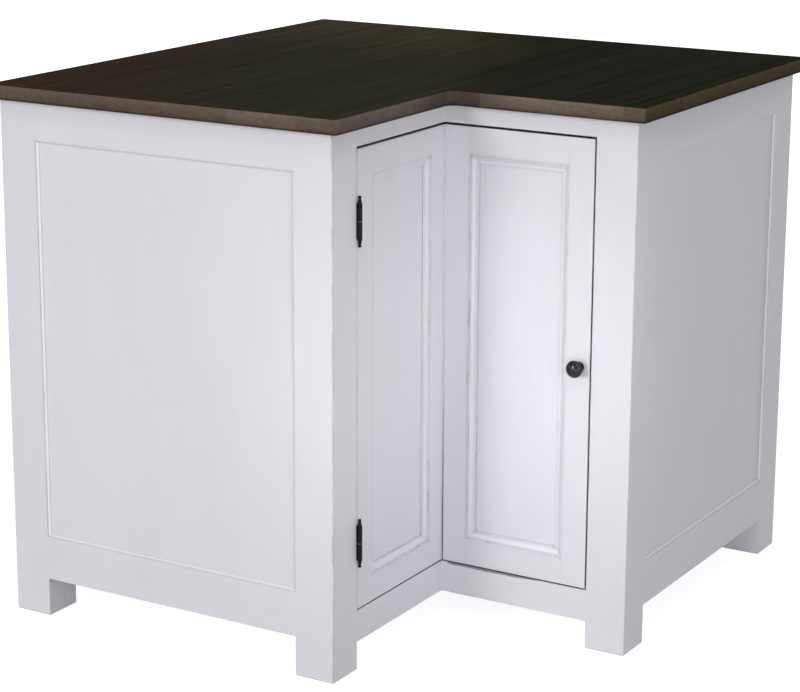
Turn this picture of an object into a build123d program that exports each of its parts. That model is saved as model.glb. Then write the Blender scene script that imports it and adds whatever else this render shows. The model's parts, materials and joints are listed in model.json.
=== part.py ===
from build123d import *
import math
import os
from dataclasses import dataclass

# Corner kitchen base cabinet on an L plan, in millimetres.
# The two backs stand against walls on the -X and +Y sides. The doors face the notch on
# the +X, -Y side. The origin is on the floor, under the middle of the worktop's square.

os.makedirs("parts", exist_ok=True)

# Overall sizes
total_height = 900
body_side = 975
arm_depth = 635
top_thick = 24
top_overhang = 20
wall_overhang = 10
top_corner_radius = 6
top_inner_radius = 16
top_edge_radius = 2

# Posts, rails and their joints
post_size = 70
post_edge_radius = 2
foot_chamfer = 1.5
stock_thick = 20
tenon_thick = 10
tenon_length = 25
tenon_shoulder = 12

# Framed ends and backs
end_clearance = 66
end_bottom_rail = 74
end_top_rail = 64
panel_recess = 6
end_panel_thick = 8
back_panel_thick = 6
groove_depth = 10
panel_play = 0.5

# Mitred bead round the panel of each end
bead_width = 4
bead_height = 4
bead_land = 1
bead_toe = 1

# Rails above and below the doors
face_clearance = 47
face_bottom_rail = 53
face_top_rail = 31
face_tenon_shoulder = 8
stub_tenon = 12

# Door leaves
leaf_stile = 43
leaf_rail = 44
leaf_recess = 8
leaf_panel_thick = 6
leaf_groove = 8
leaf_top_gap = 4
leaf_bottom_gap = 2.5
hinge_gap = 1.5
closing_gap = 3
closing_land = 2
closing_clearance = 0.6

# Mitred moulding round each leaf's panel
moulding_width = 15
moulding_height = 7
moulding_lip = 2.5
moulding_quirk = 1.3
moulding_ogee_rise = 0.6
moulding_step_height = 2.2
moulding_step_width = 3.5
mitre_gap = 0.2

# Finial butt hinges at the front-left post
barrel_radius = 4
barrel_length = 56
barrel_proud = 1
barrel_clearance = 0.5
hinge_inset = 111
flap_thick = 1.8
flap_reach = 15
flap_play = 0.3
hinge_pin_radius = 2
hinge_pin_length = 48
pin_clearance = 0.05
washer_thick = 0.8
knuckle_play = 0.1
finial_length = 12
finial_foot_radius = 3.7
finial_taper = 6
finial_neck = 7.2
finial_neck_radius = 1.9
finial_tip = 8.2
finial_tip_radius = 2.5
finial_tip_ease = 0.7

# Continuous hinge in the corner between the leaves
strip_thick = 0.8
strip_width = 13
strip_play = 0.4
strip_knuckle_radius = 1.6
strip_pin_radius = 0.8
strip_knuckles = 13
strip_knuckle_play = 0.2
strip_offset = 0.3

# Screws
screw_radius = 1.6
screw_head_radius = 3.2
screw_length = 14
hinge_screw_spacing = 20
hinge_screw_depth = 8.5
bracket_screw_radius = 2
bracket_screw_head_radius = 4
bracket_screw_head = 2.2
bracket_screw_length = 14

# Knob
knob_inset = 19
knob_height_on_leaf = 370.5
rose_radius = 9
rose_thick = 3
rose_rim = 1.2
knob_neck_radius = 4.5
knob_head_radius = 14
knob_shoulder_radius = 6.5
knob_head_thick = 18
knob_projection = 26
stud_radius = 2
stud_in_wood = 11
stud_in_knob = 12

# Catch and stop behind the top door rails
catch_width = 44
catch_hang = 18
catch_rise = 16
catch_depth = 12
catch_inset = 70
catch_play = 0.3
strike_thick = 1.2
strike_width = 30
strike_height = 14
strike_drop = 2
stop_width = 30
stop_inset = 120

# Floor, shelf and their bearers
board_play = 1
floor_thick = 16
shelf_thick = 18
shelf_underside = 460
shelf_setback = 8
bearer_width = 20
bearer_height = 18
seam_bearer_width = 40
bearer_play = 0.5

# Angle brackets under the worktop
bracket_width = 22
bracket_leg = 28
bracket_thick = 2
bracket_bend_radius = 3
bracket_hole_inset = 10

# Places that follow from the sizes
frame_height = total_height - top_thick
top_side = body_side + top_overhang + wall_overhang
notch_side = body_side - arm_depth
door_opening = notch_side - post_size
x_wall = wall_overhang - top_side / 2
x_face = x_wall + arm_depth
x_end = x_wall + body_side
y_wall = -x_wall
y_face = -x_face
y_end = -x_end
tenon_depths = ((stock_thick - tenon_thick) / 2, (stock_thick + tenon_thick) / 2)
stock_depths = (0, stock_thick)
framed_low = (end_clearance, end_clearance + end_bottom_rail)
framed_high = (frame_height - end_top_rail, frame_height)
face_low = (face_clearance, face_clearance + face_bottom_rail)
face_high = (frame_height - face_top_rail, frame_height)


@dataclass
class Wall:
    """An upright side of the carcass seen from outside. Its plane starts on the floor at the
    side's left post, and its length is clear between the posts."""

    plane: Plane
    length: float
    panel_thick: float = 0
    brackets: int = 0


@dataclass
class Post:
    """A corner post: its corner of the plan, the way inward from there, and the framed sides
    and the door side that are jointed into it."""

    corner: tuple
    inward: tuple
    framed: tuple
    door_side: str = ""

    def centre(self):
        """The middle of the post in plan."""
        return tuple(at + way * post_size / 2 for at, way in zip(self.corner, self.inward))


@dataclass
class Leaf:
    """A door leaf: the edges of its frame and of its panel opening, along the door's plane."""

    plane: Plane
    edges: tuple
    window: tuple


end_length = arm_depth - 2 * post_size
back_length = body_side - 2 * post_size
walls = {
    "left_end": Wall(
        Plane((x_wall + post_size, y_end, 0), x_dir=(1, 0, 0), z_dir=(0, -1, 0)),
        end_length, end_panel_thick, 1,
    ),
    "right_end": Wall(
        Plane((x_end, y_face + post_size, 0), x_dir=(0, 1, 0), z_dir=(1, 0, 0)),
        end_length, end_panel_thick, 1,
    ),
    "left_back": Wall(
        Plane((x_wall, y_wall - post_size, 0), x_dir=(0, -1, 0), z_dir=(-1, 0, 0)),
        back_length, back_panel_thick, 2,
    ),
    "right_back": Wall(
        Plane((x_end - post_size, y_wall, 0), x_dir=(-1, 0, 0), z_dir=(0, 1, 0)),
        back_length, back_panel_thick, 2,
    ),
}
left_face = Wall(
    Plane((x_face, y_end + post_size, 0), x_dir=(0, 1, 0), z_dir=(1, 0, 0)), door_opening
)
right_face = Wall(
    Plane((x_face, y_face, 0), x_dir=(1, 0, 0), z_dir=(0, -1, 0)), door_opening
)

posts = {
    "post_far_left": Post((x_wall, y_end), (1, 1), ("left_end", "left_back")),
    "post_front_left": Post((x_face, y_end), (-1, 1), ("left_end",), "left"),
    "post_front_right": Post((x_end, y_face), (-1, 1), ("right_end",), "right"),
    "post_back_right": Post((x_end, y_wall), (-1, -1), ("right_end", "right_back")),
    "post_back_corner": Post((x_wall, y_wall), (1, -1), ("right_back", "left_back")),
}

# Door leaves. The left one runs on behind the edge of the right one
leaf_low = face_low[1] + leaf_bottom_gap
leaf_high = face_high[0] - leaf_top_gap
leaf_span = (leaf_low, leaf_high)
window_up = (leaf_low + leaf_rail, leaf_high - leaf_rail)
leaf_panel_depths = (leaf_recess, leaf_recess + leaf_panel_thick)
corner_gap = 2 * strip_thick + strip_play
closing_edge = door_opening - closing_gap
leaves = {
    "left_leaf": Leaf(
        left_face.plane,
        (hinge_gap, door_opening + stock_thick),
        (hinge_gap + leaf_stile, door_opening - leaf_stile),
    ),
    "right_leaf": Leaf(
        right_face.plane,
        (corner_gap, closing_edge),
        (corner_gap + leaf_stile, closing_edge - leaf_stile),
    ),
}

# Hinge axes in plan, and the middle height of each finial hinge
hinge_x = x_face + barrel_proud + barrel_radius
hinge_y = y_end + post_size + hinge_gap / 2
hinge_heights = (leaf_low + hinge_inset, leaf_high - hinge_inset)
strip_x = x_face + strip_offset + strip_knuckle_radius
strip_y = y_face - strip_offset - strip_knuckle_radius
strip_pitch = (leaf_high - leaf_low) / strip_knuckles
knob_up = leaf_low + knob_height_on_leaf
knob_across = closing_edge - knob_inset


def save(piece, name):
    """Label a finished piece and write it to its own file."""
    piece.part.label = name
    export_step(piece.part, f"parts/{name}.step")


def grow(span, amount):
    """The same span made longer at each end, or shorter by a negative amount."""
    return (span[0] - amount, span[1] + amount)


def middle(span):
    """The middle of a span."""
    return (span[0] + span[1]) / 2


def block(plane, across, up, depths, mode=Mode.ADD):
    """Square-edged stock on an upright plane: spans along it, up it and in from its face."""
    with BuildSketch(plane.offset(-depths[1])) as outline:
        with Locations((middle(across), middle(up))):
            Rectangle(across[1] - across[0], up[1] - up[0])
    extrude(outline.sketch, amount=depths[1] - depths[0], mode=mode)


def slab(x_span, y_span, up, mode=Mode.ADD):
    """Square-edged stock lying level, from its spans in plan and in height."""
    with BuildSketch(Plane.XY.offset(up[0])) as outline:
        with Locations((middle(x_span), middle(y_span))):
            Rectangle(x_span[1] - x_span[0], y_span[1] - y_span[0])
    extrude(outline.sketch, amount=up[1] - up[0], mode=mode)


def upright_rod(centre, radius, up, mode=Mode.ADD):
    """A round bar or bore that stands upright."""
    with BuildSketch(Plane.XY.offset(up[0])) as outline:
        with Locations(centre):
            Circle(radius)
    extrude(outline.sketch, amount=up[1] - up[0], mode=mode)


def turned(plane, points, mode=Mode.ADD):
    """A turned shape about its plane's z axis, from points of radius and height above it."""
    side = Plane(plane.origin, x_dir=plane.x_dir, z_dir=-plane.y_dir)
    with BuildSketch(side) as outline:
        with BuildLine():
            Polyline(*points, close=True)
        make_face()
    revolve(outline.sketch, axis=Axis(plane.origin, plane.z_dir), mode=mode)


def moved(plane, across, up, depth):
    """The same plane with its origin at a place on it, at a depth in from its face."""
    return Plane(plane.from_local_coords((across, up, -depth)), x_dir=plane.x_dir, z_dir=plane.z_dir)


# Joints cut in the posts and made on the rails, from the same spans

def face_tenon(wall, span, at_far_end, mode):
    """The tenon of a door rail, at the end that meets a post."""
    across = (wall.length, wall.length + tenon_length) if at_far_end else (-tenon_length, 0)
    block(wall.plane, across, grow(span, -face_tenon_shoulder), tenon_depths, mode)


def stub_joint(span, mode):
    """The stub tenon of a right-hand door rail, in the left-hand rail that it butts on."""
    block(right_face.plane, (-stub_tenon, 0), grow(span, -face_tenon_shoulder), tenon_depths, mode)


def framed_sockets(wall):
    """Cut a framed side's mortises and panel groove into a post."""
    for span in (framed_low, framed_high):
        block(wall.plane, grow((0, wall.length), tenon_length), grow(span, -tenon_shoulder),
              tenon_depths, Mode.SUBTRACT)
    panel_groove(wall)


def panel_groove(wall):
    """Cut the groove that holds a framed side's panel."""
    block(wall.plane, grow((0, wall.length), groove_depth),
          grow((framed_low[1], framed_high[0]), groove_depth), panel_depths(wall), Mode.SUBTRACT)


def panel_depths(wall):
    """How far in from the side's face its panel lies."""
    return (panel_recess, panel_recess + wall.panel_thick)


def bracket_places(wall):
    """Where the worktop brackets stand along a side, evenly spread."""
    return [wall.length * (turn + 1) / (wall.brackets + 1) for turn in range(wall.brackets)]


def bracket_screw(plane, mode):
    """A screw with a low round head, seated on its plane and driven in below it."""
    turned(plane, (
        (0, -bracket_screw_length),
        (bracket_screw_radius, bracket_screw_radius - bracket_screw_length),
        (bracket_screw_radius, 0),
        (bracket_screw_head_radius, 0),
        (bracket_screw_head_radius - bracket_screw_head / 2, bracket_screw_head),
        (0, bracket_screw_head),
    ), mode)


def bracket_screws(wall, mode=Mode.ADD):
    """The screws of a side's brackets: one into the rail, one up into the worktop."""
    for across in bracket_places(wall):
        inner = stock_thick + bracket_thick
        height = frame_height - bracket_leg + bracket_hole_inset
        into_rail = moved(wall.plane, across, height, inner)
        bracket_screw(Plane(into_rail.origin, x_dir=wall.plane.y_dir, z_dir=-wall.plane.z_dir), mode)
        into_top = moved(wall.plane, across, frame_height - bracket_thick,
                         stock_thick + bracket_leg - bracket_hole_inset)
        bracket_screw(Plane(into_top.origin, x_dir=wall.plane.x_dir, z_dir=(0, 0, -1)), mode)


# Mouldings round a panel

def mitred_strip(plane, length, section, width, height):
    """One length of a moulding, along its plane's x axis and mitred at both ends."""
    across = Plane(plane.origin, x_dir=plane.y_dir, z_dir=plane.x_dir)
    with BuildSketch(plane) as mitres:
        with BuildLine():
            Polyline(
                (mitre_gap, 0),
                (length - mitre_gap, 0),
                (length - width - mitre_gap, width),
                (width + mitre_gap, width),
                close=True,
            )
        make_face()
    stock = extrude(across * section, amount=length, mode=Mode.PRIVATE)
    ends = extrude(mitres.sketch, amount=height, mode=Mode.PRIVATE)
    add(stock & ends)


def mitred_surround(face, across, up, section, width, height):
    """Four lengths of a moulding round the inside of an opening, from its lower left corner."""
    for start, along, length in (
        ((0, 0, 0), face.x_dir, across),
        ((across, 0, 0), face.y_dir, up),
        ((across, up, 0), -face.x_dir, across),
        ((0, up, 0), -face.y_dir, up),
    ):
        plane = Plane(face.from_local_coords(start), x_dir=along, z_dir=face.z_dir)
        mitred_strip(plane, length, section, width, height)


# Finial hinges. Side is -1 for the half on the post and 1 for the half on the leaf

def flap(side, front, up, mode=Mode.ADD):
    """A hinge flap in the gap between post and leaf, as far forward as is asked."""
    near = hinge_y + side * flap_play / 2
    far = near + side * flap_thick
    slab((x_face - flap_reach, front), (min(near, far), max(near, far)), up, mode)


def flap_seats(side):
    """Cut the rebates for one side's flaps."""
    for height in hinge_heights:
        flap(side, hinge_x, grow((height, height), barrel_length / 2), Mode.SUBTRACT)


def flap_screws(side, mode=Mode.ADD):
    """Three countersunk screws in each of one side's flaps, their heads flush."""
    head = screw_head_radius - screw_radius
    for height in hinge_heights:
        for row in (-1, 0, 1):
            seat = (x_face - hinge_screw_depth, hinge_y + side * flap_play / 2,
                    height + row * hinge_screw_spacing)
            turned(Plane(seat, x_dir=(1, 0, 0), z_dir=(0, -side, 0)), (
                (0, -screw_length),
                (screw_radius, screw_radius - screw_length),
                (screw_radius, -head),
                (screw_head_radius, 0),
                (0, 0),
            ), mode)


def finial(height, way):
    """The turned end of a hinge barrel, tapered to a small button, pointing up or down."""
    turned(Plane((hinge_x, hinge_y, height), x_dir=(1, 0, 0), z_dir=(0, 0, way)), (
        (0, 0),
        (finial_foot_radius, 0),
        (finial_tip_radius, finial_taper),
        (finial_neck_radius, finial_neck),
        (finial_tip_radius, finial_tip),
        (finial_tip_radius, finial_length - finial_tip_ease),
        (finial_tip_radius - finial_tip_ease, finial_length),
        (0, finial_length),
    ))


def hinge_half(side, height):
    """One half of a finial hinge. The post carries the lower knuckle, the leaf the upper one."""
    whole = grow((height, height), barrel_length / 2)
    if side < 0:
        knuckle = (whole[0], height - washer_thick / 2)
    else:
        knuckle = (height + washer_thick / 2 + knuckle_play, whole[1])
    flap(side, hinge_x - barrel_radius - barrel_clearance, whole)
    flap(side, hinge_x, knuckle)
    upright_rod((hinge_x, hinge_y), barrel_radius, knuckle)
    finial(whole[0] if side < 0 else whole[1], side)
    pin_room = grow((height, height), hinge_pin_length / 2 + knuckle_play)
    upright_rod((hinge_x, hinge_y), hinge_pin_radius + pin_clearance, pin_room, Mode.SUBTRACT)


# Carcass

for name, post in posts.items():
    with BuildPart() as timber:
        with BuildSketch() as section:
            with Locations(post.centre()):
                Rectangle(post_size, post_size)
            fillet(section.vertices().sort_by_distance(post.corner)[0], post_edge_radius)
        extrude(amount=frame_height)
        chamfer(timber.faces().sort_by(Axis.Z)[0].edges(), foot_chamfer)
        for side in post.framed:
            framed_sockets(walls[side])
        for span in (face_low, face_high):
            if post.door_side == "left":
                face_tenon(left_face, span, False, Mode.SUBTRACT)
            if post.door_side == "right":
                face_tenon(right_face, span, True, Mode.SUBTRACT)
        if post.door_side == "left":
            flap_seats(-1)
            flap_screws(-1, Mode.SUBTRACT)
    save(timber, name)

for side, wall in walls.items():
    for place, span in (("bottom", framed_low), ("top", framed_high)):
        with BuildPart() as rail:
            block(wall.plane, (0, wall.length), span, stock_depths)
            block(wall.plane, grow((0, wall.length), tenon_length), grow(span, -tenon_shoulder),
                  tenon_depths)
            panel_groove(wall)
            if place == "top":
                bracket_screws(wall, Mode.SUBTRACT)
        save(rail, f"{side}_{place}_rail")

    with BuildPart() as panel:
        held = groove_depth - panel_play
        block(wall.plane, grow((0, wall.length), held),
              grow((framed_low[1], framed_high[0]), held), panel_depths(wall))
    save(panel, f"{side}_panel")

# Section of the ends' bead: a square outer edge, a land and a slope down to the panel
with BuildSketch() as bead_section:
    with BuildLine():
        Polyline(
            (0, 0),
            (bead_width, 0),
            (bead_width, bead_toe),
            (bead_land, bead_height),
            (0, bead_height),
            close=True,
        )
    make_face()

for side in ("left_end", "right_end"):
    wall = walls[side]
    with BuildPart() as bead:
        face = moved(wall.plane, 0, framed_low[1], panel_recess)
        mitred_surround(face, wall.length, framed_high[0] - framed_low[1],
                        bead_section.sketch, bead_width, bead_height)
    save(bead, f"{side}_bead")

for place, span in (("bottom", face_low), ("top", face_high)):
    with BuildPart() as left_rail:
        block(left_face.plane, (0, door_opening + stock_thick), span, stock_depths)
        face_tenon(left_face, span, False, Mode.ADD)
        stub_joint(span, Mode.SUBTRACT)
    save(left_rail, f"left_face_{place}_rail")

    with BuildPart() as right_rail:
        block(right_face.plane, (0, door_opening), span, stock_depths)
        face_tenon(right_face, span, True, Mode.ADD)
        stub_joint(span, Mode.ADD)
    save(right_rail, f"right_face_{place}_rail")

# Worktop, one L-shaped panel with eased edges
with BuildPart() as worktop:
    with BuildSketch(Plane.XY.offset(frame_height)) as plan:
        with BuildLine():
            Polyline(
                (x_wall - wall_overhang, y_end - top_overhang),
                (x_face + top_overhang, y_end - top_overhang),
                (x_face + top_overhang, y_face - top_overhang),
                (x_end + top_overhang, y_face - top_overhang),
                (x_end + top_overhang, y_wall + wall_overhang),
                (x_wall - wall_overhang, y_wall + wall_overhang),
                close=True,
            )
        make_face()
        inner = plan.vertices().sort_by_distance((x_face + top_overhang, y_face - top_overhang))[0]
        outer = [corner for corner in plan.vertices() if corner != inner]
        fillet(outer, top_corner_radius)
        inner = plan.vertices().sort_by_distance((x_face + top_overhang, y_face - top_overhang))[0]
        fillet(inner, top_inner_radius)
    extrude(amount=top_thick)
    level_edges = worktop.faces().filter_by(Axis.Z).edges()
    fillet(level_edges, top_edge_radius)
    for wall in walls.values():
        bracket_screws(wall, Mode.SUBTRACT)
save(worktop, "worktop")

with BuildPart() as worktop_brackets:
    for wall in walls.values():
        for across in bracket_places(wall):
            start = moved(wall.plane, across - bracket_width / 2, frame_height, stock_thick)
            section_plane = Plane(start.origin, x_dir=-wall.plane.z_dir, z_dir=wall.plane.x_dir)
            with BuildSketch(section_plane) as section:
                with BuildLine():
                    Polyline(
                        (0, 0),
                        (bracket_leg, 0),
                        (bracket_leg, -bracket_thick),
                        (bracket_thick, -bracket_thick),
                        (bracket_thick, -bracket_leg),
                        (0, -bracket_leg),
                        close=True,
                    )
                make_face()
                fillet(section.vertices().sort_by_distance((0, 0))[0], bracket_bend_radius)
            extrude(amount=bracket_width)
        bracket_screws(wall, Mode.SUBTRACT)
save(worktop_brackets, "worktop_brackets")

with BuildPart() as worktop_screws:
    for wall in walls.values():
        bracket_screws(wall)
save(worktop_screws, "worktop_screws")


# Floor and shelf, each of two boards that meet on a seam bearer

def board(x_span, y_span, up):
    """A level board, notched round the posts."""
    slab(x_span, y_span, up)
    for post in posts.values():
        x, y = post.centre()
        notch = post_size / 2 + board_play
        slab(grow((x, x), notch), grow((y, y), notch), up, Mode.SUBTRACT)


def bearer(wall, top):
    """A bearer along the inside of a wall, from post to post."""
    block(wall.plane, (0, wall.length), (top - bearer_height, top),
          (stock_thick, stock_thick + bearer_width))


def seam_bearer(top, front):
    """The wider bearer under the seam of the two boards."""
    seam = x_face - front + board_play / 2
    back = y_wall - stock_thick - bearer_width - bearer_play
    slab(grow((seam, seam), seam_bearer_width / 2), (y_face + stock_thick, back),
         (top - bearer_height, top))


side_inset = stock_thick + board_play
floor_front = stock_thick + board_play
shelf_front = stock_thick + shelf_setback
floor_up = (face_low[1] - floor_thick, face_low[1])
shelf_up = (shelf_underside, shelf_underside + shelf_thick)

for name, up, front in (("floor", floor_up, floor_front), ("shelf", shelf_up, shelf_front)):
    with BuildPart() as left_board:
        board((x_wall + side_inset, x_face - front), (y_end + side_inset, y_wall - side_inset), up)
    save(left_board, f"{name}_left")

    with BuildPart() as right_board:
        board((x_face - front + board_play, x_end - side_inset),
              (y_face + front, y_wall - side_inset), up)
    save(right_board, f"{name}_right")

with BuildPart() as floor_bearers:
    for wall in (*walls.values(), left_face, right_face):
        bearer(wall, floor_up[0])
    seam_bearer(floor_up[0], floor_front)
save(floor_bearers, "floor_bearers")

with BuildPart() as shelf_bearers:
    for wall in walls.values():
        bearer(wall, shelf_up[0])
    seam_bearer(shelf_up[0], shelf_front)
save(shelf_bearers, "shelf_bearers")


# Catch on the back of the right top rail, with its strike plate on the leaf, and the stop
# block behind the left leaf

def hanging_block(wall, across, seat):
    """A block screwed behind a top door rail, hanging behind the leaf at a clear depth."""
    back = stock_thick + catch_depth
    block(wall.plane, across, (face_high[0], face_high[0] + catch_rise), (stock_thick, back))
    block(wall.plane, across, (face_high[0] - catch_hang, face_high[0]), (seat, back))


catch_middle = door_opening - catch_inset
with BuildPart() as catch_body:
    hanging_block(right_face, grow((catch_middle, catch_middle), catch_width / 2),
                  stock_thick + strike_thick + catch_play)
save(catch_body, "catch_body")

with BuildPart() as catch_strike:
    strike_top = leaf_high - strike_drop
    block(right_face.plane, grow((catch_middle, catch_middle), strike_width / 2),
          (strike_top - strike_height, strike_top), (stock_thick, stock_thick + strike_thick))
save(catch_strike, "catch_strike")

with BuildPart() as door_stop:
    hanging_block(left_face, grow((stop_inset, stop_inset), stop_width / 2),
                  stock_thick + catch_play)
save(door_stop, "door_stop")


# Door leaves

def leaf_joints(leaf):
    """Cut a leaf's mortises and panel groove into one of its stiles."""
    for span in leaf_rail_spans.values():
        block(leaf.plane, grow(leaf.window, tenon_length), grow(span, -tenon_shoulder),
              tenon_depths, Mode.SUBTRACT)
    leaf_panel_groove(leaf)


def leaf_panel_groove(leaf):
    """Cut the groove that holds a leaf's panel."""
    block(leaf.plane, grow(leaf.window, leaf_groove), grow(window_up, leaf_groove),
          leaf_panel_depths, Mode.SUBTRACT)


def swing_setback(depth):
    """How far back from its edge the closing stile must stand at a depth, so that both leaves
    can swing out square to each other past the front-right post."""
    reach = x_face + door_opening - hinge_x - closing_clearance
    rise = y_face - hinge_y
    edge = x_face + closing_edge - hinge_x
    return edge - math.sqrt(reach**2 - 2 * rise * depth - depth**2)


def knob_stud(mode=Mode.ADD):
    """The stud that joins the knob to the closing stile."""
    start = moved(right_face.plane, knob_across, knob_up, stud_in_wood)
    with BuildSketch(start) as outline:
        Circle(stud_radius)
    extrude(outline.sketch, amount=stud_in_wood + rose_thick + stud_in_knob, mode=mode)


# Section of the leaves' moulding: a flat lip, a quirk, an ogee and an inner step
with BuildSketch() as moulding_section:
    ogee_start = (moulding_lip, moulding_height - moulding_quirk)
    ogee_end = (moulding_width - moulding_step_width, moulding_step_height)
    turn = (middle((ogee_start[0], ogee_end[0])), middle((ogee_start[1], ogee_end[1])))
    with BuildLine():
        SagittaArc(ogee_start, turn, moulding_ogee_rise)
        SagittaArc(turn, ogee_end, -moulding_ogee_rise)
        Polyline(
            ogee_end,
            (moulding_width, moulding_step_height),
            (moulding_width, 0),
            (0, 0),
            (0, moulding_height),
            (moulding_lip, moulding_height),
            ogee_start,
        )
    make_face()


leaf_rail_spans = {
    "bottom": (leaf_low, leaf_low + leaf_rail),
    "top": (leaf_high - leaf_rail, leaf_high),
}

for name, leaf in leaves.items():
    for place, span in leaf_rail_spans.items():
        with BuildPart() as rail:
            block(leaf.plane, leaf.window, span, stock_depths)
            block(leaf.plane, grow(leaf.window, tenon_length), grow(span, -tenon_shoulder),
                  tenon_depths)
            leaf_panel_groove(leaf)
        save(rail, f"{name}_{place}_rail")

    with BuildPart() as panel:
        held = leaf_groove - panel_play
        block(leaf.plane, grow(leaf.window, held), grow(window_up, held), leaf_panel_depths)
    save(panel, f"{name}_panel")

    with BuildPart() as moulding:
        width = leaf.window[1] - leaf.window[0]
        height = window_up[1] - window_up[0]
        face = moved(leaf.plane, leaf.window[0], window_up[0], leaf_recess)
        mitred_surround(face, width, height, moulding_section.sketch,
                        moulding_width, moulding_height)
    save(moulding, f"{name}_moulding")

with BuildPart() as left_leaf_hinge_stile:
    leaf = leaves["left_leaf"]
    block(leaf.plane, (leaf.edges[0], leaf.window[0]), leaf_span, stock_depths)
    leaf_joints(leaf)
    flap_seats(1)
    flap_screws(1, Mode.SUBTRACT)
save(left_leaf_hinge_stile, "left_leaf_hinge_stile")

with BuildPart() as left_leaf_corner_stile:
    leaf = leaves["left_leaf"]
    block(leaf.plane, (leaf.window[1], leaf.edges[1]), leaf_span, stock_depths)
    leaf_joints(leaf)
save(left_leaf_corner_stile, "left_leaf_corner_stile")

with BuildPart() as right_leaf_corner_stile:
    leaf = leaves["right_leaf"]
    block(leaf.plane, (leaf.edges[0], leaf.window[0]), leaf_span, stock_depths)
    leaf_joints(leaf)
save(right_leaf_corner_stile, "right_leaf_corner_stile")

with BuildPart() as right_leaf_closing_stile:
    leaf = leaves["right_leaf"]
    block(leaf.plane, (leaf.window[1], leaf.edges[1]), leaf_span, stock_depths)
    edge_x = x_face + closing_edge
    with BuildSketch(Plane.XY.offset(leaf_low)) as bevel:
        with BuildLine():
            Polyline(
                (edge_x, y_face + closing_land),
                (edge_x, y_face + stock_thick),
                (edge_x - swing_setback(stock_thick), y_face + stock_thick),
                close=True,
            )
        make_face()
    extrude(amount=leaf_high - leaf_low, mode=Mode.SUBTRACT)
    leaf_joints(leaf)
    knob_stud(Mode.SUBTRACT)
save(right_leaf_closing_stile, "right_leaf_closing_stile")

# Finial hinges
with BuildPart() as post_hinge_fixed_leaves:
    for height in hinge_heights:
        hinge_half(-1, height)
    flap_screws(-1, Mode.SUBTRACT)
save(post_hinge_fixed_leaves, "post_hinge_fixed_leaves")

with BuildPart() as post_hinge_moving_leaves:
    for height in hinge_heights:
        hinge_half(1, height)
    flap_screws(1, Mode.SUBTRACT)
save(post_hinge_moving_leaves, "post_hinge_moving_leaves")

with BuildPart() as post_hinge_pins:
    for height in hinge_heights:
        upright_rod((hinge_x, hinge_y), hinge_pin_radius,
                    grow((height, height), hinge_pin_length / 2))
save(post_hinge_pins, "post_hinge_pins")

with BuildPart() as post_hinge_washers:
    for height in hinge_heights:
        level = grow((height, height), washer_thick / 2)
        upright_rod((hinge_x, hinge_y), barrel_radius, level)
        upright_rod((hinge_x, hinge_y), hinge_pin_radius + pin_clearance, level, Mode.SUBTRACT)
save(post_hinge_washers, "post_hinge_washers")

with BuildPart() as post_hinge_screws:
    flap_screws(-1)
save(post_hinge_screws, "post_hinge_screws")

with BuildPart() as leaf_hinge_screws:
    flap_screws(1)
save(leaf_hinge_screws, "leaf_hinge_screws")


# Continuous hinge. The left leaf carries the odd knuckles and the pin

def strip_half(back_x, first_knuckle):
    """One half of the continuous hinge: a thin flap with every other knuckle."""
    x_span = (back_x, back_x + strip_thick)
    slab(x_span, (y_face, y_face + strip_width), leaf_span)
    for knuckle in range(first_knuckle, strip_knuckles, 2):
        low = leaf_low + knuckle * strip_pitch
        up = grow((low, low + strip_pitch), -strip_knuckle_play / 2)
        slab(x_span, (strip_y, y_face), up)
        upright_rod((strip_x, strip_y), strip_knuckle_radius, up)
    upright_rod((strip_x, strip_y), strip_pin_radius + pin_clearance, leaf_span, Mode.SUBTRACT)


with BuildPart() as corner_hinge_left_flap:
    strip_half(x_face, 0)
save(corner_hinge_left_flap, "corner_hinge_left_flap")

with BuildPart() as corner_hinge_right_flap:
    strip_half(x_face + corner_gap - strip_thick, 1)
save(corner_hinge_right_flap, "corner_hinge_right_flap")

with BuildPart() as corner_hinge_pin:
    upright_rod((strip_x, strip_y), strip_pin_radius, leaf_span)
save(corner_hinge_pin, "corner_hinge_pin")

# Knob, its rose and its stud
knob_plane = moved(right_face.plane, knob_across, knob_up, 0)
knob_side = Plane(knob_plane.origin, x_dir=knob_plane.x_dir, z_dir=-knob_plane.y_dir)
knob_axis = Axis(knob_plane.origin, knob_plane.z_dir)

with BuildPart() as knob_rose:
    turned(knob_plane, (
        (0, 0),
        (rose_radius, 0),
        (rose_radius, rose_rim),
        (knob_neck_radius, rose_thick),
        (0, rose_thick),
    ))
    knob_stud(Mode.SUBTRACT)
save(knob_rose, "knob_rose")

# The knob's head is a crown and an underside of one curve, joined by a rounder shoulder
head_half = knob_head_thick / 2
head_middle = knob_projection - head_half
shoulder_in = knob_head_radius - knob_shoulder_radius
crown_rise = head_half - knob_shoulder_radius
crown_drop = (shoulder_in**2 - crown_rise**2) / (2 * crown_rise)
crown_radius = head_half + crown_drop
crown_edge = shoulder_in * crown_radius / (crown_radius - knob_shoulder_radius)


def on_head(radius, way):
    """A point of the head's crown, or of its underside, at a distance from the knob's axis."""
    height = math.sqrt(crown_radius**2 - radius**2) - crown_drop
    return (radius, head_middle + way * height)


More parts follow.
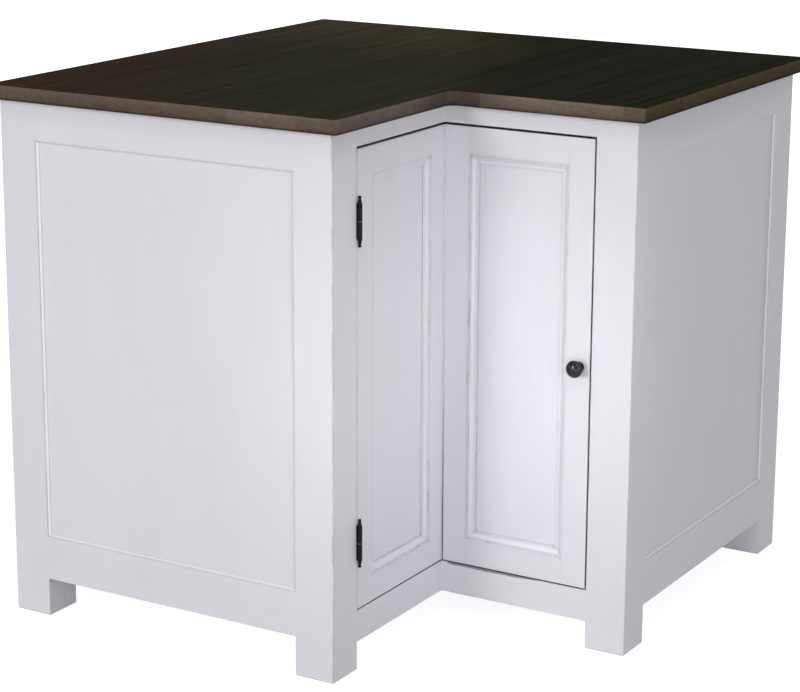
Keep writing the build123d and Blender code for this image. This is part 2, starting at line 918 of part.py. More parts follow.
with BuildPart() as knob:
    with BuildSketch(knob_side) as profile:
        with BuildLine():
            ThreePointArc(on_head(0, 1), on_head(crown_edge / 2, 1), on_head(crown_edge, 1))
            ThreePointArc(on_head(crown_edge, 1), (knob_head_radius, head_middle),
                          on_head(crown_edge, -1))
            ThreePointArc(on_head(crown_edge, -1),
                          on_head(middle((crown_edge, knob_neck_radius)), -1),
                          on_head(knob_neck_radius, -1))
            Polyline(
                on_head(knob_neck_radius, -1),
                (knob_neck_radius, rose_thick),
                (stud_radius, rose_thick),
                (stud_radius, rose_thick + stud_in_knob),
                (0, rose_thick + stud_in_knob),
                on_head(0, 1),
            )
        make_face()
    revolve(profile.sketch, axis=knob_axis)
save(knob, "knob")

with BuildPart() as knob_stud_piece:
    knob_stud()
save(knob_stud_piece, "knob_stud")
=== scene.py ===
"""Corner kitchen cabinet: finishes, small fixings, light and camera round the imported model."""
import json
import math

import bmesh
import bpy
from mathutils import Matrix, Vector


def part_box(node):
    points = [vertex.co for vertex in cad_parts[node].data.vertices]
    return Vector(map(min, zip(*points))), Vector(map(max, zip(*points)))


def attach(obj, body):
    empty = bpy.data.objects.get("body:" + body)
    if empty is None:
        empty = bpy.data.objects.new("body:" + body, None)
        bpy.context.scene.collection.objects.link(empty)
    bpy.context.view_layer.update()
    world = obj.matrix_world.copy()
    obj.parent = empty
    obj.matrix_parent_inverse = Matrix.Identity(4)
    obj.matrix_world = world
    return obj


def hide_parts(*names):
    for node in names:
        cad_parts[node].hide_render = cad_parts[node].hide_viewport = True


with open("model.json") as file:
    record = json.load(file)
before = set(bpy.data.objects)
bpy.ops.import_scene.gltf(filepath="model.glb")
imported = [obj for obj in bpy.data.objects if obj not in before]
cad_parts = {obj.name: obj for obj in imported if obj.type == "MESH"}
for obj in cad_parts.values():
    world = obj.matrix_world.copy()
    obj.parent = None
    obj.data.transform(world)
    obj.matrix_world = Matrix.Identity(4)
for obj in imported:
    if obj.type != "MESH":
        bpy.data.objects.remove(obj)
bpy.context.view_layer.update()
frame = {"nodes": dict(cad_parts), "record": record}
nodes = frame["nodes"]

# Sizes in metres, angles in degrees, colours as linear red, green and blue

paint_white = (0.820, 0.808, 0.852)
primer_grey = (0.30, 0.27, 0.25)
# Grey of the dirt and painted shade in corners and nooks
nook_dirt_and_shade = (0.45, 0.44, 0.47)
# Near black of the painted shadow deep in the gaps
gap_painted_shadow = (0.012, 0.012, 0.015)
# Grey of the ragged painted shade along the gap below the right leaf
gap_ragged_shade = (0.15, 0.15, 0.17)
# Worktop stains, which also carry a painted sheen: paler towards the back, darkest on the right
stain_black_past_sheen = (0.0190, 0.0220, 0.0120)
stain_olive_and_sheen = (0.0300, 0.0280, 0.0118)
stain_brown_and_sheen = (0.0425, 0.0235, 0.0090)
stain_pale_and_sheen = (0.0620, 0.0470, 0.0185)
edge_rose = (0.185, 0.142, 0.114)
edge_dark = (0.115, 0.083, 0.062)
edge_long = (0.098, 0.078, 0.045)
edge_notch = (0.150, 0.122, 0.098)
pine_pale = (0.66, 0.50, 0.32)
pine_ring = (0.47, 0.30, 0.15)
iron_black = (0.0135, 0.0120, 0.0130)
iron_rubbed = (0.060, 0.050, 0.038)
bronze_dull = (0.30, 0.235, 0.165)
bronze_dark = (0.15, 0.115, 0.080)
zinc_pale = (0.62, 0.63, 0.66)
zinc_dull = (0.42, 0.43, 0.45)
plastic_white = (0.72, 0.72, 0.70)

# Continuous hinge in the inner corner

strip_paint = (0.80, 0.79, 0.85)
# Dark steel of the knuckles low down, which also stands in for painted shade of the corner gap
strip_steel_and_gap_shade = (0.055, 0.055, 0.062)
strip_axis = (0.1444, -0.1444, 0)
# Heights between which the dark steel and painted shade of the knuckles fade out upwards
strip_crack_and_shade_low = 0.15
strip_crack_and_shade_high = 0.55
strip_left_face = 0.1433
strip_right_face = 0.1437
strip_screw_row = -0.1345
strip_screw_count = 10
strip_screw_radius = 0.0022
strip_screw_shank = 0.0011
strip_screw_length = 0.010
strip_screw_proud = 0.00012

# Slotted screws

hinge_screw_radius = 0.0032
hinge_screw_shank = 0.0016
hinge_screw_length = 0.014
screw_slot = 0.0010
screw_slot_depth = 0.0007
screw_ease = 0.0002
screw_first_turn = 0.4
screw_next_turn = 1.9
slot_side_corners = 12
shank_corners = 20

# Where a mark in the paint, a painted highlight or a painted shade starts, and where it is full:
# noise, slopes, edges and nooks

brightest_tone = 1.17
ledge_slope = (0.05, 0.60)
flat_slope = (0.6, 0.8)
turned_slope = (0.02, 0.10)
rubbed_patches = (0.56, 0.64)
rubbed_edge = (0.03, 0.12)
edge_highlight = (0.06, 0.30)
crease_shade_nook = (0.20, 0.50)
grime_and_shade_nook = (0.55, 0.85)
grime_and_shade_dashes = (0.38, 0.66)
gap_shadow_nook = (0.60, 0.82)
off_strip = (0.004, 0.009)

# Places of the painted shade and older paint on the feet, of the wear on the post's arris, and of
# the painted shade at the gap below the right leaf

foot_inner_side = (-0.42, -0.41)
foot_top = (0.0715, 0.0725)
foot_rail_shade = (0.046, 0.070)
arris_width = (0.0018, 0.0036)
arris_shift = 0.0012
fray_reach = 0.0036
fray_start = (0.146, 0.165)
fray_end = (0.26, 0.36)
gap_middle = 0.0006

# Worktop and boards

stave_width = 0.125
stave_start = 0.034
notch_corner = (0.1625, -0.1625, 0.888)
pine_primed_below = (0.095, 0.099)

# Floor and background

floor_white = (0.82, 0.82, 0.85, 1)
floor_half_side = 14
floor_fade = (1.0, 2.6)
floor_lift = 0.76
floor_bounce = 0.10
soft_white = (0.985, 0.985, 1.0, 1)
world_strength = 0.12

# Camera

camera_place = (1.9957, -3.40127, 1.47248)
camera_yaw = 30.72
camera_pitch = -13.97
camera_roll = 0.25
sensor_millimetres = 36
lens_millimetres = 106.335
lens_shift = -0.05


# Materials

class Value:
    """One output of a material's nodes, so that shader maths reads as plain expressions."""

    def __init__(self, graph, socket):
        self.graph = graph
        self.socket = socket

    def maths(self, operation, *terms):
        """A Math node on these terms."""
        return self.graph.node("ShaderNodeMath", {"operation": operation}, dict(enumerate(terms)))

    def __add__(self, other):
        return self.maths("ADD", self, other)

    def __sub__(self, other):
        return self.maths("SUBTRACT", self, other)

    def __rsub__(self, other):
        return self.maths("SUBTRACT", other, self)

    def __mul__(self, other):
        return self.maths("MULTIPLY", self, other)

    def __truediv__(self, other):
        return self.maths("DIVIDE", self, other)

    def __abs__(self):
        return self.maths("ABSOLUTE", self)

    __radd__ = __add__
    __rmul__ = __mul__


class Graph:
    """The nodes of one material or of the world."""

    def __init__(self, tree):
        self.tree = tree
        tree.nodes.clear()

    def node(self, kind, settings, sockets, output=0):
        """A node: its settings first, then the values or links of its sockets."""
        made = self.tree.nodes.new(kind)
        for name, value in settings.items():
            setattr(made, name, value)
        for key, value in sockets.items():
            if isinstance(value, Value):
                self.tree.links.new(value.socket, made.inputs[key])
            else:
                made.inputs[key].default_value = value
        return Value(self, made.outputs[output]) if made.outputs else None

    def seen_directly(self):
        """1 for rays that come from the camera, or through glass or off gloss, otherwise 0."""
        seen, glossy, through = (
            self.node("ShaderNodeLightPath", {}, {}, f"Is {kind} Ray")
            for kind in ("Camera", "Glossy", "Transmission"))
        return seen.maths("MAXIMUM", seen.maths("MAXIMUM", seen, glossy), through)

    def place(self, stretch=(1, 1, 1)):
        """Where a point is on the object at rest, times a stretch on each axis."""
        here = self.node("ShaderNodeTexCoord", {}, {}, "Object")
        return self.node("ShaderNodeVectorMath", {"operation": "MULTIPLY"}, {0: here, 1: stretch})

    def moved_place(self, place, shift):
        """A place shifted along the diagonal by a value, to start a pattern elsewhere."""
        amount = self.node("ShaderNodeCombineXYZ", {}, {"X": shift, "Y": shift, "Z": shift})
        return self.node("ShaderNodeVectorMath", {"operation": "ADD"}, {0: place, 1: amount})

    def part(self, vector, axis):
        """One coordinate of a vector."""
        return self.node("ShaderNodeSeparateXYZ", {}, {0: vector}, axis)

    def distance(self, place, point):
        """How far a place is from a point."""
        return self.node("ShaderNodeVectorMath", {"operation": "DISTANCE"},
                         {0: place, 1: point}, "Value")

    def facing(self, axis):
        """How far the surface faces up an axis of the object, -1 to 1."""
        return self.part(self.node("ShaderNodeTexCoord", {}, {}, "Normal"), axis)

    def slant(self):
        """How far the surface turns between two axes of the object: 0 on a flat face."""
        turns = [abs(self.facing(axis)) for axis in "XYZ"]
        most = turns[0].maths("MAXIMUM", turns[0], turns[1])
        return 1 - most.maths("MAXIMUM", most, turns[2])

    def noise(self, place, scale, detail=2.0, roughness=0.5, twist=0.0):
        """Soft irregular variation, about 0.3 to 0.7."""
        return self.node("ShaderNodeTexNoise", {}, {
            "Vector": place, "Scale": scale, "Detail": detail, "Roughness": roughness,
            "Distortion": twist})

    def chance(self, number):
        """One random value for each whole number."""
        return self.node("ShaderNodeTexWhiteNoise", {"noise_dimensions": "1D"}, {"W": number})

    def step(self, value, low, high):
        """0 below low, 1 above high and a soft step between them."""
        return self.node("ShaderNodeMapRange", {"interpolation_type": "SMOOTHSTEP"}, {
            "Value": value, "From Min": low, "From Max": high})

    def colour(self, factor, first, second):
        """Two colours mixed by a value."""
        sockets = {0: factor}
        for key, value in ((6, first), (7, second)):
            sockets[key] = value if isinstance(value, Value) else (*value, 1)
        return self.node("ShaderNodeMix", {"data_type": "RGBA"}, sockets, 2)

    def shade(self, colour, factor):
        """A colour made lighter or darker by a value."""
        grey = self.node("ShaderNodeCombineColor", {}, {0: factor, 1: factor, 2: factor})
        return self.node("ShaderNodeMix", {"data_type": "RGBA", "blend_type": "MULTIPLY"},
                         {0: 1.0, 6: colour, 7: grey}, 2)

    def edge(self, radius):
        """How near a point is to a sharp edge, and the normal that rounds that edge."""
        round_normal = self.node("ShaderNodeBevel", {"samples": 6}, {"Radius": radius})
        flat_normal = self.node("ShaderNodeNewGeometry", {}, {}, "Normal")
        same = self.node("ShaderNodeVectorMath", {"operation": "DOT_PRODUCT"},
                         {0: round_normal, 1: flat_normal}, "Value")
        return 1 - same, round_normal

    def nook(self, distance):
        """How deep a point lies in a corner or groove, 0 to 1."""
        open_share = self.node("ShaderNodeAmbientOcclusion", {"samples": 8},
                               {"Distance": distance}, "AO")
        return 1 - open_share


class Finish(Graph):
    """A material built round one Principled shader."""

    def __init__(self, name, constants):
        self.material = bpy.data.materials.new(name)
        self.material.use_nodes = True
        super().__init__(self.material.node_tree)
        self.shader = self.tree.nodes.new("ShaderNodeBsdfPrincipled")
        for socket, value in constants.items():
            self.shader.inputs[socket].default_value = value
        self.node("ShaderNodeOutputMaterial", {}, {"Surface": Value(self, self.shader.outputs[0])})

    def feed(self, socket, value):
        """Let a value that changes over the surface reach the shader."""
        self.tree.links.new(value.socket, self.shader.inputs[socket])

    def bump(self, height, distance, normal=None):
        """Raise the surface by a height from 0 to 1, times a distance in metres."""
        sockets = {"Height": height, "Distance": distance, "Strength": 1.0}
        if normal is not None:
            sockets["Normal"] = normal
        self.feed("Normal", self.node("ShaderNodeBump", {}, sockets))


def along(axis, fine, coarse):
    """Stretch for grain or brush marks that run along an axis."""
    return tuple(coarse if name == axis else fine for name in "XYZ")


def paint(name, axis, crease_shade, slope_highlight_and_shade, rounding):
    """White eggshell, brushed along the wood and rubbed on its edges, with dirt and painted shade
    in its corners, painted shadow deep in its gaps, painted shade on faces that look down and
    painted highlights on its sharp edges and ledges.

    The three numbers after the axis are how much painted shade lies in the creases of a moulded
    piece, how much painted highlight lies on slopes that face +X and on ledges, with painted shade
    on slopes that face -X, and how far its edges are eased."""
    finish = Finish(name, {"Specular IOR Level": 0.35})
    strokes = finish.noise(finish.place(along(axis, 1, 0.035)), 340, 3, 0.6)
    broad = finish.noise(finish.place(along(axis, 1, 0.05)), 85, 4, 0.6)
    pores = finish.noise(finish.place(along(axis, 1, 0.02)), 900, 2, 0.7)
    cloud = finish.noise(finish.place(), 3.2, 3)
    edge, round_normal = finish.edge(rounding)
    upward = finish.facing("Z")
    ledge_highlight = finish.step(upward, *ledge_slope)
    under = finish.step(0 - upward, *ledge_slope)
    nook = finish.nook(0.012)
    worn = finish.noise(finish.place(along(axis, 1, 0.25)), 75, 4, 0.65)
    dashes = finish.noise(finish.place(along(axis, 1, 0.12)), 160, 3, 0.6)

    tone = 0.935 + 0.035 * strokes + 0.035 * broad + 0.05 * (cloud - 0.5)
    # Painted highlight on sharp edges, and painted shade on faces that look down
    tone = tone + 0.07 * finish.step(edge, *edge_highlight) - 0.05 * under
    # Painted highlight on ledges and other upward faces
    tone = tone + (0.16 + 0.6 * slope_highlight_and_shade) * ledge_highlight
    if slope_highlight_and_shade:
        # Painted highlight on slopes that face +X and painted shade on slopes that face -X
        tone = tone + slope_highlight_and_shade * finish.facing("X") * finish.step(finish.slant(), *turned_slope)
        tone = tone.maths("MINIMUM", tone, brightest_tone)
    if crease_shade:
        # Painted shade in the creases of moulded pieces, kept off the ledges and off the hinge
        # corner
        away = finish.step(finish.distance(finish.place((1, 1, 0)), strip_axis), *off_strip)
        crease_shade_mask = finish.step(finish.nook(0.004), *crease_shade_nook) * away * (1 - ledge_highlight)
        tone = tone - crease_shade * crease_shade_mask * (0.6 + 0.8 * dashes)
    else:
        tone = tone * foot_shade(finish, dashes)
    colour = finish.shade(brushloads(finish), tone)
    # Dirt and painted shade in corners and nooks
    grime_and_shade = finish.step(nook, *grime_and_shade_nook) * finish.step(dashes, *grime_and_shade_dashes)
    colour = finish.colour(0.45 * grime_and_shade, colour, nook_dirt_and_shade)
    # Painted shadow deep in the gaps, on their level faces
    deep = finish.step(nook, *gap_shadow_nook) * finish.step(abs(upward), *flat_slope)
    colour = finish.colour(deep, colour, gap_painted_shadow)
    # Ragged painted shade along the gap below the right leaf
    colour = finish.colour(gap_shade_fray(finish, dashes), colour, gap_ragged_shade)
    if crease_shade:
        rubbed = finish.step(worn, *rubbed_patches) * finish.step(edge, *rubbed_edge)
    else:
        rubbed = arris_wear(finish, worn)
    colour = finish.colour(0.6 * rubbed, colour, primer_grey)
    finish.feed("Base Color", colour)
    finish.feed("Roughness", 0.42 + 0.16 * strokes + 0.2 * rubbed)
    finish.bump(0.5 * strokes + 0.3 * broad + 0.3 * pores - 0.8 * rubbed, 0.00018, round_normal)
    return finish.material


def brushloads(finish):
    """The paint's own colour, a little cooler in some brushloads than in others."""
    load = finish.noise(finish.place((1, 1, 0.4)), 9, 2)
    return finish.colour(finish.step(load, 0.35, 0.65), paint_white,
                         tuple(0.985 * part for part in paint_white))


def foot_shade(finish, dashes):
    """Darker inner side of the left feet: streaks of older paint, and painted shade that is deepest
    below the rail.
    """
    here = finish.place()
    inner = finish.step(finish.facing("X"), *flat_slope)
    inner = inner * (1 - finish.step(finish.part(here, "X"), *foot_inner_side))
    height = finish.part(here, "Z")
    low = 1 - finish.step(height, *foot_top)
    return 1 - inner * low * (0.06 + 0.26 * dashes + 0.28 * finish.step(height, *foot_rail_shade))


def arris_wear(finish, worn):
    """Paint rubbed off along the front left post's arris, mostly on the notch's side."""
    low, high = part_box("post_front_left")
    away = finish.distance(finish.place((1, 1, 0)), (high[0], low[1] + arris_shift, 0))
    return 0.55 * (1 - finish.step(away, *arris_width)) * finish.step(worn, 0.40, 0.60)


def gap_shade_fray(finish, dashes):
    """Ragged painted shade along the gap below the right leaf, on the inner corner's side."""
    low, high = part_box("right_face_bottom_rail")
    run = finish.part(finish.place(), "X")
    gap = finish.distance(finish.place((0, 1, 1)), (0, low[1], high[2] - gap_middle))
    reach = fray_reach * (0.3 + 1.4 * dashes) * finish.step(run, *fray_start)
    reach = reach * (1 - finish.step(run, *fray_end))
    return 0.8 * finish.step(reach - gap, 0.0, 0.0015)


def worktop_stain():
    """Dark stained staves with a satin top and a painted sheen, paler and duller where the edges
    are cut.
    """
    finish = Finish("stained_top", {"Specular IOR Level": 0.0, "Coat Roughness": 0.2})
    here = finish.place()
    level = finish.step(abs(finish.facing("Z")), 0.55, 0.92)
    across = (finish.part(here, "X") + stave_start) / stave_width
    stave = across.maths("FLOOR", across)
    tone = finish.chance(stave)
    shifted = finish.moved_place(finish.place((1, 0.045, 1)), tone * 3.7)
    figure = finish.noise(shifted, 38, 5, 0.62, 0.6)
    fibre = finish.noise(finish.place((1, 0.02, 1)), 620, 3, 0.7)
    patches = finish.noise(here, 2.1, 3, 0.5)

    slant = finish.part(here, "X") + 0.45 * finish.part(here, "Y")
    run = slant + 0.16 * (figure - 0.5) + 0.22 * (patches - 0.5)
    rear = finish.part(here, "Y") + 0.30 * (patches - 0.5)
    # Stain and painted sheen together: warm brown to the left, olive in the middle, paler towards
    # the back as a painted reflection, and darkest on the right, outside it
    top = finish.colour(finish.step(run, -0.54, -0.24), stain_brown_and_sheen, stain_olive_and_sheen)
    top = finish.colour(finish.step(rear, 0.0, 0.5), top, stain_pale_and_sheen)
    top = finish.colour(finish.step(run, 0.04, 0.24), top, stain_black_past_sheen)
    top = finish.shade(top, 2.0 * figure + 0.12 * tone + 0.16 * fibre - 0.15)
    cut = cut_edges(finish, here, tone)
    edge, round_normal = finish.edge(0.0012)
    colour = finish.colour(level, cut, top)
    colour = finish.colour(0.5 * finish.step(edge, 0.02, 0.3), colour, edge_rose)
    finish.feed("Base Color", colour)
    finish.feed("Coat Weight", 0.016 * level)
    finish.feed("Roughness", 0.62 - 0.16 * level + 0.1 * figure)
    finish.bump(0.7 * fibre + 0.3 * figure, 0.00012, round_normal)
    return finish.material


def cut_edges(finish, here, tone):
    """Colour of the worktop's cut edges, blotched, with a painted highlight along the top, and
    painted shade low down and in the notch.
    """
    low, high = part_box("worktop")
    end_cut = finish.step(abs(finish.facing("Y")), 0.6, 0.8)
    blotch = finish.noise(finish.place((1, 1, 2.2)), 42, 3, 0.6)
    shifted = finish.moved_place(finish.place((1, 1, 1.6)), tone * 5.1)
    rings = finish.noise(shifted, 150, 4, 0.6, 1.2)
    mottle = finish.step(0.7 * rings + 0.3 * tone, 0.25, 0.80)
    end_grain = finish.colour(mottle, edge_dark, edge_rose)
    lines = finish.noise(finish.place((0.6, 0.05, 1)), 420, 3, 0.65)
    side = finish.step(finish.part(here, "X"), 0.2, 0.4)
    long_grain = finish.shade(finish.colour(side, edge_notch, edge_long), 0.7 + 0.6 * lines)
    cut = finish.colour(end_cut, long_grain, end_grain)
    height = (finish.part(here, "Z") - low[2]) / (high[2] - low[2])
    # Painted highlight towards the top of the edge and painted shade at its foot
    level = (0.68 + 0.52 * height) * (0.42 + 0.58 * finish.step(height, 0.03, 0.22))
    # Painted shade near the notch's inner corner
    notch = finish.step(finish.distance(here, notch_corner), 0.02, 0.15)
    return finish.shade(cut, level * (0.62 + 0.38 * notch) * (0.72 + 0.62 * blotch))


def bare_pine():
    """Clear lacquered pine boards."""
    finish = Finish("bare_board", {"Specular IOR Level": 0.3})
    board = finish.noise(finish.place((1, 0.06, 1)), 26, 5, 0.6, 0.8)
    fibre = finish.noise(finish.place((1, 0.02, 1)), 700, 2, 0.6)
    rings = finish.step(board, 0.36, 0.66)
    edge, round_normal = finish.edge(0.001)
    colour = finish.colour(0.75 * rings + 0.25 * fibre, pine_pale, pine_ring)
    below = 1 - finish.step(finish.part(finish.place(), "Z"), *pine_primed_below)
    primed = below * finish.step(0 - finish.facing("Z"), 0.5, 0.8)
    colour = finish.colour(primed, colour, paint_white)
    # Painted shade in the boards' corners and hollows
    finish.feed("Base Color", finish.shade(colour, 1 - 0.2 * finish.nook(0.03)))
    finish.feed("Roughness", 0.45 + 0.2 * fibre + 0.1 * edge)
    finish.bump(0.6 * fibre + 0.4 * board, 0.00015, round_normal)
    return finish.material


def black_iron(name, gloss):
    """Black lacquer on iron, rubbed brown where hands and turning wear it.

    Gloss scales the clear coat, from a dull hinge to a polished knob."""
    finish = Finish(name, {"Specular IOR Level": 0.0, "Coat Roughness": 0.09})
    specks = finish.noise(finish.place(), 620, 4, 0.65)
    cloud = finish.noise(finish.place(), 110, 3)
    edge, round_normal = finish.edge(0.0006)
    rubbed = finish.step(edge, 0.04, 0.3) * finish.step(cloud, 0.42, 0.62)
    spotted = finish.step(specks, 0.62, 0.74)
    colour = finish.colour(0.5 * rubbed + 0.25 * spotted, iron_black, iron_rubbed)
    finish.feed("Base Color", colour)
    finish.feed("Roughness", 0.40 + 0.22 * cloud + 0.2 * specks)
    finish.feed("Coat Weight", gloss * (0.95 - 0.35 * cloud - 0.4 * rubbed))
    finish.bump(0.6 * specks + 0.4 * cloud, 0.00008, round_normal)
    return finish.material


def metal(name, bright, dull, roughness, scratch):
    """Plated or solid metal, dulled in patches and finely scratched."""
    finish = Finish(name, {"Metallic": 1.0})
    cloud = finish.noise(finish.place(), 160, 3)
    lines = finish.noise(finish.place((1, 1, 0.06)), 900, 2, 0.6)
    colour = finish.colour(finish.step(cloud, 0.35, 0.68), bright, dull)
    finish.feed("Base Color", finish.shade(colour, 0.9 + 0.2 * lines))
    finish.feed("Roughness", roughness + 0.2 * cloud + scratch * lines)
    finish.bump(lines, 0.00006)
    return finish.material


def moulded_plastic():
    """Matt moulded plastic with a fine spark finish."""
    finish = Finish("catch_plastic", {"Specular IOR Level": 0.4})
    spark = finish.noise(finish.place(), 1500, 2)
    cloud = finish.noise(finish.place(), 60, 2)
    edge, round_normal = finish.edge(0.0008)
    colour = finish.colour(cloud, plastic_white, tuple(0.93 * part for part in plastic_white))
    finish.feed("Base Color", finish.shade(colour, 1 - 0.08 * edge))
    finish.feed("Roughness", 0.5 + 0.15 * spark)
    finish.bump(spark, 0.00005, round_normal)
    return finish.material


def corner_strip():
    """The continuous hinge: painted white, its knuckles dark low down, as steel showing through
    cracked paint that also stands in for painted shade of the corner gap.
    """
    finish = Finish("painted_steel", {"Specular IOR Level": 0.4})
    flakes = finish.noise(finish.place((1, 1, 0.3)), 240, 4, 0.7)
    knuckle = 1 - finish.step(finish.distance(finish.place((1, 1, 0)), strip_axis), 0.0018, 0.0025)
    ridge = finish.step(finish.facing("X") - finish.facing("Y"), 1.00, 1.22)
    low = 1 - finish.step(finish.part(finish.place(), "Z"), strip_crack_and_shade_low, strip_crack_and_shade_high)
    # Dark knuckles: steel through cracked paint, and painted shade of the corner gap
    cracked_paint_and_shade = knuckle * ridge * low * (0.75 + 0.5 * flakes)
    finish.feed("Base Color", finish.colour(cracked_paint_and_shade, strip_paint, strip_steel_and_gap_shade))
    finish.feed("Roughness", 0.5 + 0.15 * flakes)
    finish.bump(1 - cracked_paint_and_shade, 0.00012)
    return finish.material


# Painted pieces: a word in the piece's name, then the painted shade in creases, the painted
# highlight on slopes and ledges, and the rounding. The first match holds
paint_kinds = (
    ("bead", 0.24, 0.28, 0.0022),
    ("left_leaf_moulding", 0.26, 0.05, 0.0022),
    ("right_leaf_moulding", 0.34, 0.15, 0.0022),
    ("leaf", 0.25, 0, 0.0012),
    ("carcass", 0, 0, 0.0008),
)
paints = {
    kind: {axis: paint(f"{kind}_paint_along_{axis.lower()}", axis, crease_shade, slope_highlight_and_shade, rounding)
           for axis in "XYZ"}
    for kind, crease_shade, slope_highlight_and_shade, rounding in paint_kinds}
hinge_iron = black_iron("hinge_iron", 0.22)
finishes = {
    "stained_top": worktop_stain(),
    "bare_board": bare_pine(),
    "black_iron": black_iron("black_iron", 0.9),
    "washer_bronze": metal("washer_bronze", bronze_dull, bronze_dark, 0.45, 0.1),
    "zinc_steel": metal("zinc_steel", zinc_pale, zinc_dull, 0.30, 0.12),
    "painted_steel": corner_strip(),
    "catch_plastic": moulded_plastic(),
}


def wood_runs(name):
    """The axis that a painted piece's grain and brush marks follow."""
    low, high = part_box(name)
    spans = high - low
    if "panel" in name or "moulding" in name:
        return "Z"
    return "XYZ"[max(range(3), key=lambda axis: spans[axis])]


def dress(node, material):
    """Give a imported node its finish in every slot."""
    slots = node.data.materials
    if not slots:
        slots.append(material)
    for place in range(len(slots)):
        slots[place] = material


def finish_of(name, slot):
    """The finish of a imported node."""
    if slot == "white_paint":
        kind = next((kind for kind in paints if kind in name), "carcass")
        return paints[kind][wood_runs(name)]
    if slot == "black_iron" and "knob" not in name:
        return hinge_iron
    return finishes[slot]


for part in frame["record"]["subparts"]:
    dress(nodes[part["node"]], finish_of(part["node"], part["material_slot"]))


# Small fixings

def outline(form, turn, points):
    """Points of a piece, put where its own frame stands."""
    return [form.verts.new(turn @ Vector(point)) for point in points]


def join(form, low, high):
    """Faces all the way round between two outlines of as many points."""
    for place, corner in enumerate(low):
        form.faces.new((low[place - 1], corner, high[place], high[place - 1]))


def half_head(form, turn, radius, side):
    """The part of a slotted countersunk head on one side of its slot."""
    start = math.asin(screw_slot / 2 / (radius - screw_slot_depth))
    sweep = (math.pi - 2 * start) / slot_side_corners
    angles = [start + sweep * step for step in range(slot_side_corners + 1)]
    levels = []
    for inset, height in ((screw_slot_depth, -screw_slot_depth), (0, -screw_ease), (screw_ease, 0)):
        reach = radius - inset
        levels.append(outline(form, turn, [
            (reach * math.cos(angle), side * max(reach * math.sin(angle), screw_slot / 2), height)
            for angle in angles]))
    for low, high in zip(levels, levels[1:]):
        join(form, low, high)
    form.faces.new(levels[-1])


def slotted_screw(form, place, outward, radius, shank, length, spin):
    """A slotted countersunk screw whose face lies at a place and looks outward."""
    turn = (Matrix.Translation(place) @ outward.to_track_quat("Z", "Y").to_matrix().to_4x4()
            @ Matrix.Rotation(spin, 4, "Z"))
    for side in (-1, 1):
        half_head(form, turn, radius, side)
    angles = [math.tau * step / shank_corners for step in range(shank_corners)]
    levels = [
        outline(form, turn, [(reach * math.cos(angle), reach * math.sin(angle), height)
                             for angle in angles])
        for reach, height in (
            (radius - screw_slot_depth, -screw_slot_depth), (shank, shank - radius),
            (shank, shank - length), (screw_ease, -length))]
    for low, high in zip(levels, levels[1:]):
        join(form, low, high)
    form.faces.new(levels[0])
    form.faces.new(levels[-1])


def screws(name, places, outward, radius, shank, length, slot, body):
    """A set of slotted screws as one piece that rides on a body."""
    form = bmesh.new()
    for count, place in enumerate(places):
        slotted_screw(form, place, Vector(outward), radius, shank, length,
                      screw_first_turn + screw_next_turn * count)
    bmesh.ops.recalc_face_normals(form, faces=form.faces)
    mesh = bpy.data.meshes.new(name)
    form.to_mesh(mesh)
    form.free()
    piece = bpy.data.objects.new(name, mesh)
    bpy.context.scene.collection.objects.link(piece)
    mesh.materials.append(finishes[slot])
    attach(piece, body)
    return piece


def screw_places(node, side):
    """The middle of each screw's face in a CAD node, from the points of its rows."""
    low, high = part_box(node)
    face = (low if side > 0 else high)[1]
    middle = (low[0] + high[0]) / 2
    heights = sorted({round(corner.co.z, 5) for corner in nodes[node].data.vertices
                      if abs(corner.co.y - face) < screw_ease})
    rows = []
    for height in heights:
        if not rows or height - rows[-1][0] > 4 * hinge_screw_radius:
            rows.append([height])
        rows[-1].append(height)
    return [(middle, face, (row[0] + row[-1]) / 2) for row in rows]


def hinge_screws():
    """Slotted screws in the finial hinges' flaps."""
    for node, side, body in (("post_hinge_screws", -1, "carcass"),
                             ("leaf_hinge_screws", 1, "left_leaf")):
        piece = screws(f"slotted_{node}", screw_places(node, side), (0, -side, 0),
                       hinge_screw_radius, hinge_screw_shank, hinge_screw_length,
                       "black_iron", body)
        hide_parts(node)


def strip_screws():
    """Small screws that hold the flaps of the continuous hinge."""
    for flap, side, face, body in (
            ("corner_hinge_left_flap", 1, strip_left_face, "left_leaf"),
            ("corner_hinge_right_flap", -1, strip_right_face, "right_leaf")):
        low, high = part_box(flap)
        pitch = (high[2] - low[2]) / strip_screw_count
        places = [
            (face + side * strip_screw_proud, strip_screw_row, low[2] + pitch * (row + 0.5))
            for row in range(strip_screw_count)]
        screws(f"{flap}_screws", places, (side, 0, 0), strip_screw_radius, strip_screw_shank,
               strip_screw_length, "zinc_steel", body)


hinge_screws()
strip_screws()


# Floor and background

def studio_floor():
    """A pale level floor that fades to white and keeps the cabinet's shadow."""
    mesh = bpy.data.meshes.new("studio_floor")
    form = bmesh.new()
    bmesh.ops.create_grid(form, x_segments=4, y_segments=4, size=floor_half_side)
    form.to_mesh(mesh)
    form.free()
    floor = bpy.data.objects.new("studio_floor", mesh)
    bpy.context.scene.collection.objects.link(floor)
    finish = Finish("studio_floor", {
        "Base Color": floor_white, "Roughness": 1.0, "Specular IOR Level": 0.0,
        "Emission Strength": 1.0})
    away = finish.distance(finish.place(), (0, 0, 0))
    fade = floor_lift - floor_bounce + (1 - floor_lift) * finish.step(away, *floor_fade)
    lift = floor_bounce + finish.seen_directly() * fade
    finish.feed("Emission Color", finish.node("ShaderNodeCombineColor", {}, {
        0: lift, 1: lift, 2: lift}))
    mesh.materials.append(finish.material)


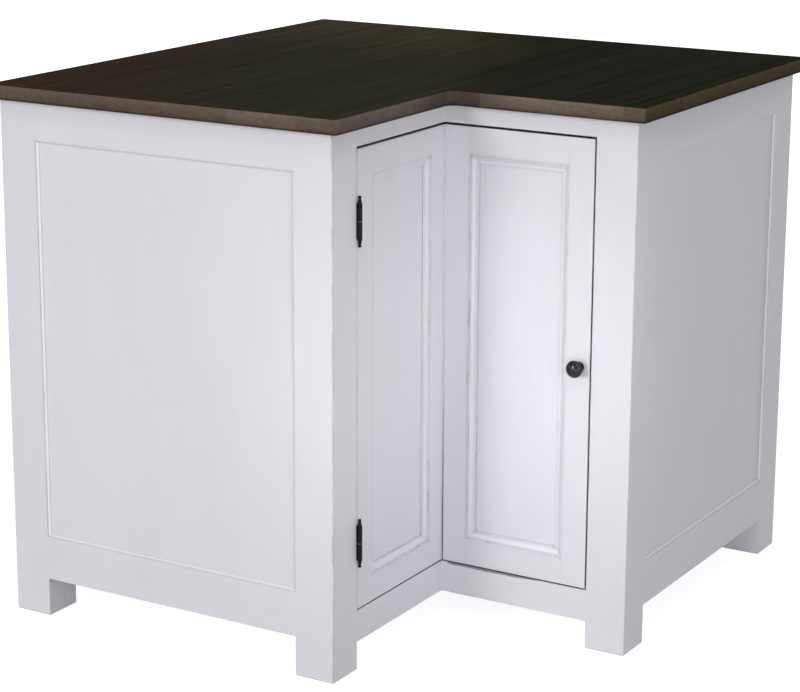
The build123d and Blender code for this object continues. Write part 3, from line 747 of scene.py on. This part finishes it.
def white_world(strength):
    """White where it is seen, and soft even light on the cabinet."""
    world = bpy.data.worlds.new("white_world")
    bpy.context.scene.world = world
    world.use_nodes = True
    graph = Graph(world.node_tree)
    light = graph.node("ShaderNodeBackground", {}, {
        "Color": soft_white, "Strength": strength})
    white = graph.node("ShaderNodeBackground", {}, {"Color": (1, 1, 1, 1), "Strength": 1.0})
    both = graph.node("ShaderNodeMixShader", {}, {0: graph.seen_directly(), 1: light, 2: white})
    graph.node("ShaderNodeOutputWorld", {}, {"Surface": both})


def soft_lamp(name, place, aim, size, watts, spread):
    """A square softbox that points at a place, with its light held to a cone in degrees."""
    lamp = bpy.data.lights.new(name, "AREA")
    lamp.shape = "SQUARE"
    lamp.size = size
    lamp.energy = watts
    lamp.spread = math.radians(spread)
    holder = bpy.data.objects.new(name, lamp)
    holder.location = place
    holder.rotation_euler = (Vector(aim) - Vector(place)).to_track_quat("-Z", "Y").to_euler()
    bpy.context.scene.collection.objects.link(holder)


middle = (0, 0, 0.45)

# Name, place, aim, side in metres, watts and cone in degrees
lamps = (
    ("left_key", (-2.42, -9.7, 4.0), middle, 2.1, 287, 180),
    ("right_key", (8.66, -5.0, 4.0), middle, 2.1, 80, 180),
    ("low_right", (5.0, -4.2, 1.2), (0.1, 0, 0.45), 1.2, 34, 180),
    ("high_front", (1.94, -2.78, 4.46), (0.2, -0.2, 0.5), 0.9, 30, 180),
    ("low_front", (0.9, -7.0, 0.36), (0.1, 0, 0.25), 0.6, 28, 180),
    ("low_left", (-2.2, -5.0, 0.7), (-0.4, -0.5, 0.3), 0.6, 9, 180),
    ("right_leaf_spot", (-0.35, -3.4, 0.9), (0.45, -0.14, 0.43), 0.45, 0.133, 12),
    ("left_leaf_spot", (2.9, -2.0, 1.0), (0.12, -0.27, 0.5), 0.3, 0.31, 18),
    ("rear_left_fill", (-6.0, 3.0, 6.0), middle, 3.0, 95, 180),
    ("rear_right_fill", (2.6, 7.7, 4.6), middle, 3.0, 95, 180),
    ("top_sheen", (-5.37, 6.80, 2.3), (0, 0, 0.9), 3.0, 26, 180),
)

studio_floor()
white_world(world_strength)
for lamp in lamps:
    soft_lamp(*lamp)


# Camera, placed by fitting the cabinet's corners to the picture

def picture_camera():
    """The camera that saw the cabinet: place, turn, tilt, roll and lens."""
    yaw, pitch, roll = map(math.radians, (camera_yaw, camera_pitch, camera_roll))
    ahead = Vector((-math.sin(yaw) * math.cos(pitch), math.cos(yaw) * math.cos(pitch),
                    math.sin(pitch)))
    level = Vector((math.cos(yaw), math.sin(yaw), 0))
    upright = level.cross(ahead)
    right = level * math.cos(roll) + upright * math.sin(roll)
    up = upright * math.cos(roll) - level * math.sin(roll)
    lens = bpy.data.cameras.new("picture_camera")
    lens.sensor_width = sensor_millimetres
    lens.lens = lens_millimetres
    lens.shift_y = lens_shift
    camera = bpy.data.objects.new("picture_camera", lens)
    turn = Matrix((right, up, -ahead)).transposed().to_4x4()
    camera.matrix_world = Matrix.Translation(camera_place) @ turn
    bpy.context.scene.collection.objects.link(camera)
    bpy.context.scene.camera = camera


picture_camera()
bpy.context.scene.view_settings.view_transform = "Standard"
